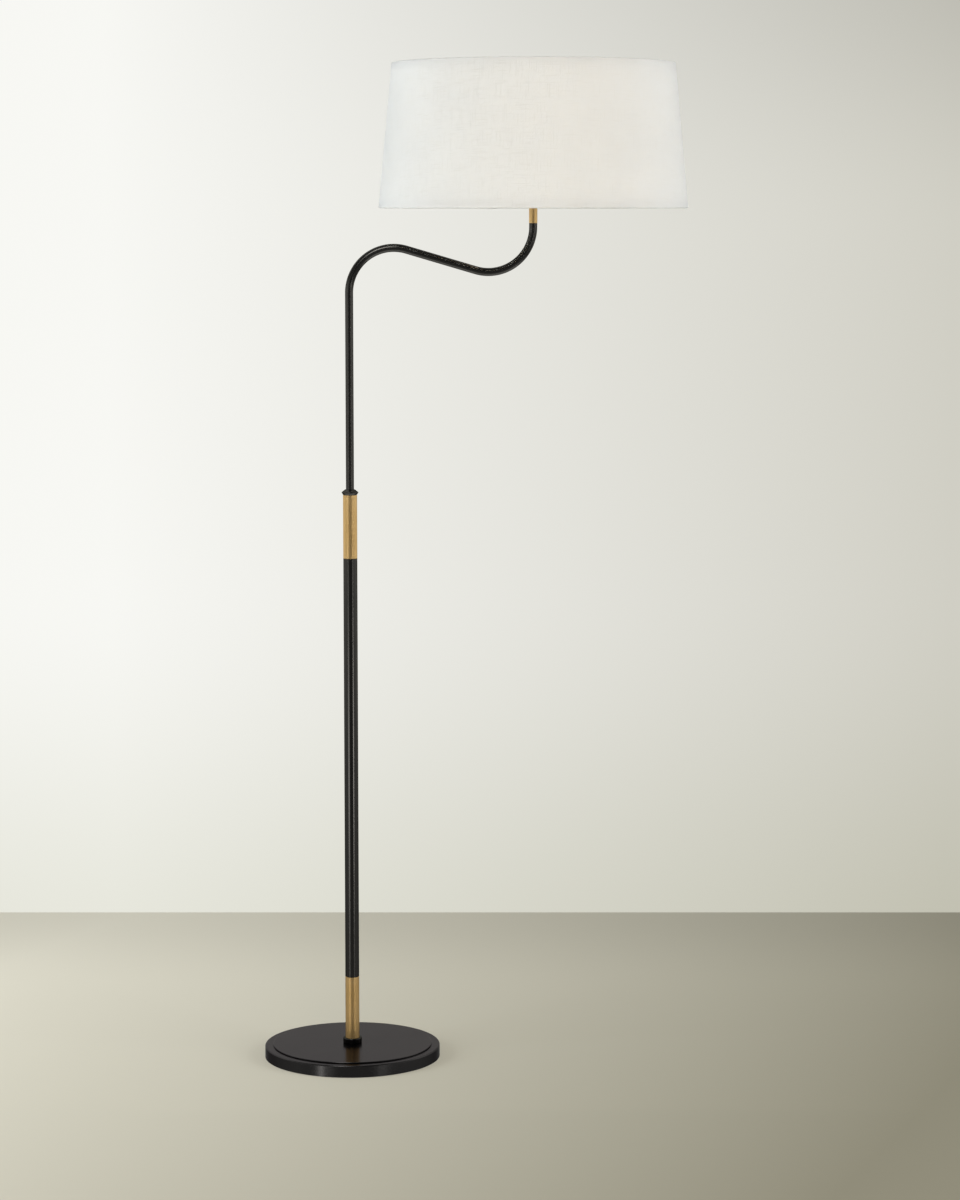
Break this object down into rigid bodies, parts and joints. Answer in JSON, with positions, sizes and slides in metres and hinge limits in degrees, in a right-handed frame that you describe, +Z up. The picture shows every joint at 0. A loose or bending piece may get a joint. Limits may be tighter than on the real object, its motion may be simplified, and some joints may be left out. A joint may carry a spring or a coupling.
{
  "type": "adjustable floor lamp",
  "caption": "Floor lamp with a weighted round base, a stem with a sliding and turning bent arm tube, and a tapered drum shade on a harp.",
  "frame": {"origin": "centre of the base's felt pad, at the floor", "axes": "+Z up along the stem; +X along the bent arm towards the shade; +Y towards the back, where the cord leaves the base"},
  "size_m": [0.6689, 0.4828, 1.5754],
  "materials": {
    "felt": "pressed felt",
    "cast_weight": "rough casting",
    "bronze_black": "gloss bronze-black",
    "bushing_nylon": "satin",
    "zinc_steel": "zinc plated",
    "raw_steel": "drawn",
    "satin_black": "satin black",
    "brushed_brass": "antique, brushed lengthwise",
    "brass_plate": "satin",
    "natural_nylon": "moulded",
    "phenolic": "moulded",
    "contact_brass": "bright",
    "paper_liner": "pressed board",
    "knob_black": "moulded",
    "bulb_alloy": "rolled",
    "bulb_black_glass": "fused insulator",
    "bulb_frost": "frosted",
    "white_wire": "white enamel",
    "shade_backing": "translucent",
    "linen": "woven linen"
  },
  "bodies": {
    "stem": {"base_pad": "felt", "base_weight": "cast_weight", "base_cover": "bronze_black", "cord_bushing": "bushing_nylon", "base_nut": "zinc_steel", "base_lock_washer": "zinc_steel", "base_nipple": "zinc_steel", "foot_collar": "satin_black", "foot_plug": "zinc_steel", "stem_liner": "raw_steel", "lower_sleeve": "brushed_brass", "stem_tube": "satin_black", "upper_sleeve": "brushed_brass", "guide_bush": "zinc_steel", "lock_collet": "natural_nylon"},
    "lock_collar": {"lock_collar": "satin_black"},
    "slider": {"slider_bush": "natural_nylon"},
    "arm": {"slider_stop_ring": "zinc_steel", "tube_end_bush": "bushing_nylon", "arm_tube": "satin_black", "neck_ferrule": "brushed_brass", "neck_nipple": "zinc_steel", "harp_saddle": "brass_plate", "harp": "brass_plate", "harp_stud": "brass_plate", "finial": "brass_plate", "socket_cap": "brass_plate", "socket_locknut": "zinc_steel", "socket_body": "phenolic", "socket_screw_shell": "contact_brass", "socket_contact": "contact_brass", "socket_liner": "paper_liner", "socket_shell": "brass_plate", "bulb_base": "bulb_alloy", "bulb_insulator": "bulb_black_glass", "bulb_glass": "bulb_frost", "shade_spider": "white_wire", "shade_bottom_ring": "white_wire", "shade_backing": "shade_backing", "shade_linen": "linen", "shade_top_hem": "linen", "shade_bottom_hem": "linen"},
    "switch_knob": {"switch_shaft": "zinc_steel", "switch_knob": "knob_black"},
    "harp_lock_left": {"harp_lock_left": "brass_plate"},
    "harp_lock_right": {"harp_lock_right": "brass_plate"}
  },
  "joints": [
    {"name": "height_slide", "type": "slide", "parent": "stem", "child": "slider", "axis": [0, 0, 1], "range_m": [-0.3, 0.1]},
    {"name": "arm_swivel", "type": "hinge", "parent": "slider", "child": "arm", "pos_m": [0, 0, 0.742], "axis": [0, 0, 1], "range_deg": [-170, 170]},
    {"name": "collar_turn", "type": "hinge", "parent": "stem", "child": "lock_collar", "pos_m": [0, 0, 0.908], "axis": [0, 0, 1], "range_deg": [0, 180]},
    {"name": "knob_turn", "type": "hinge", "parent": "arm", "child": "switch_knob", "pos_m": [0.2875, -0.02, 1.37733], "axis": [0, -1, 0], "continuous": true},
    {"name": "left_lock_lift", "type": "slide", "parent": "arm", "child": "harp_lock_left", "axis": [0, 0, 1], "range_m": [0, 0.01]},
    {"name": "right_lock_lift", "type": "slide", "parent": "arm", "child": "harp_lock_right", "axis": [0, 0, 1], "range_m": [0, 0.01]}
  ]
}
